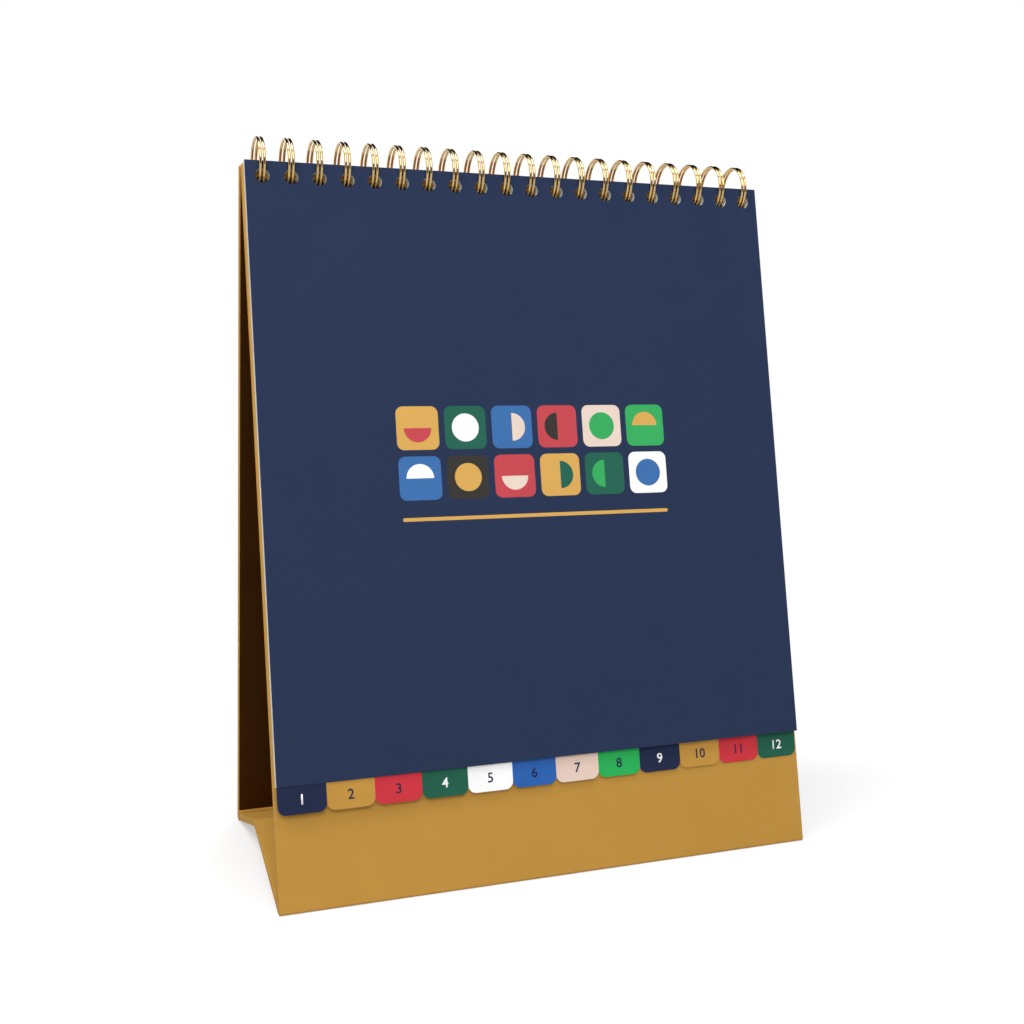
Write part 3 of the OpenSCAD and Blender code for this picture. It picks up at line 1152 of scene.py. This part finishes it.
def background_seen(tree):
    """1 for rays that see the background: from the camera, off metal or through glass."""
    kinds = ("Is Camera Ray", "Is Glossy Ray", "Is Transmission Ray")
    camera_ray, glossy_ray, clear_ray = (Shade(tree).node("LightPath", out=kind) for kind in kinds)
    return camera_ray.most(glossy_ray).most(clear_ray)


def card(name, material, width, depth, place):
    """A flat staging card."""
    shape = bmesh.new()
    size = Matrix.Diagonal((width / 2, depth / 2, 1, 1))
    bmesh.ops.create_grid(shape, x_segments=1, y_segments=1, size=1, matrix=place @ size)
    piece = link(name, shape, material)
    return piece


def floor_paint(place):
    return {"Base Color": background_seen(place.tree).mix(FLOOR_BOUNCE, FLOOR_WHITE)}


floor_finish = finish("studio_floor", floor_paint, Roughness=CARD_ROUGH, Specular_IOR_Level=0.0)
tree = floor_finish.node_tree
place = Shade(tree).node("TexCoord", out="Object")
distance = place.node("VectorMath", {"operation": "LENGTH"}, {0: place}, out="Value")
fade = LEAST_FADE + distance.ramp(SHADOW_NEAR, SHADOW_FAR) * (1 - LEAST_FADE)
white = place.node("Emission", sockets={"Color": PURE_WHITE, "Strength": 1.0})
lit = Shade(tree, tree.nodes["Principled BSDF"].outputs["BSDF"])
faded = place.node("MixShader", sockets={0: fade * background_seen(tree), 1: lit, 2: white})
tree.links.new(faded.socket, tree.nodes["Material Output"].inputs["Surface"])
card("studio_floor", floor_finish, FLOOR_SIZE, FLOOR_SIZE, Matrix())
print("floor is plain white from", SHADOW_FAR, "m on")

# %% [markdown]
# ## The room
#
# The world is white for the same rays as the floor, and a dim even light for all others. In an all white
# room a bright wire has nothing to mirror and looks like plastic. Photographers hang dark cards round
# such a piece. One hangs above and behind the stand, a low one stands far behind the camera, and both are
# kept out of the picture: they give the gold the dark lines that tell the eye it is metal. The low one
# touches neither light nor shadow.

# %% The room
SKY_LIGHT = 0.15
CARD_DARK = grey(0.02)

high_place = Matrix.Translation((0.2, 0.75, 0.95)) @ Matrix.Rotation(math.radians(-42), 4, "X")
low_place = Matrix.Translation((-0.6, -2.6, 0.65)) @ Matrix.Rotation(QUARTER, 4, "X")
card_finish = finish(
    "dark_card",
    lambda place: {},
    Base_Color=CARD_DARK,
    Roughness=CARD_ROUGH,
    Specular_IOR_Level=0.0,
)
dark_card = card("dark_card", card_finish, width=2.2, depth=1.0, place=high_place)
dark_card.visible_camera = False
low_card = card("low_card", card_finish, width=5.0, depth=1.3, place=low_place)
low_card.visible_camera = False
low_card.visible_diffuse = False
low_card.visible_shadow = False

world = bpy.data.worlds.new("studio")
world.use_nodes = True
scene.world = world
sky = world.node_tree.nodes["Background"]
sky.inputs["Color"].default_value = PURE_WHITE
strength = background_seen(world.node_tree) * (1 - SKY_LIGHT) + SKY_LIGHT
world.node_tree.links.new(strength.socket, sky.inputs["Strength"])
print("sky's light:", SKY_LIGHT, "of white; cards:", dark_card.name, low_card.name)

# %% [markdown]
# ## Lamps
#
# The light in the photograph is soft and falls steeply, so each tab casts a short shadow. Sun lamps would
# give hard shadows. Large area lamps are softboxes: one in front to the left for the cover, one high on
# the left for the base and the tabs' shadows, a small one from above, and a weak one behind for the back
# panel, which the wire doesn't mirror.

# %% Lamps


def softbox(name, place, aim, width, depth, power):
    """An area lamp that looks at a point, with its power in watts."""
    lamp = bpy.data.lights.new(name, "AREA")
    lamp.shape = "RECTANGLE"
    lamp.size = width
    lamp.size_y = depth
    lamp.energy = power
    lamp_object = bpy.data.objects.new(name, lamp)
    lamp_object.location = place
    lamp_object.rotation_mode = "QUATERNION"
    lamp_object.rotation_quaternion = (Vector(aim) - Vector(place)).to_track_quat("-Z", "Y")
    scene.collection.objects.link(lamp_object)
    return lamp_object


softbox("top_light", (0.2, -0.45, 2.1), aim=(0, -0.05, 0.1), width=0.8, depth=0.5, power=11.0)
softbox("front_light", (-0.5, -1.6, 1.65), aim=(0, 0, 0.15), width=1.4, depth=1.2, power=31.0)
softbox("side_light", (-1.0, 0.0, 2.2), aim=(-0.05, 0, 0.05), width=1.0, depth=1.0, power=30.0)
back_light = softbox("back_light", (0.5, 1.1, 0.6), aim=(0, 0, 0.1), width=0.7, depth=0.5, power=14.0)
back_light.visible_glossy = False
print("lamps:", sum(lamp.energy for lamp in bpy.data.lights), "W in all")

# %% [markdown]
# A dressed piece may not grow: the paper, the wire and the ink have to stay in the box of the bare
# solids.
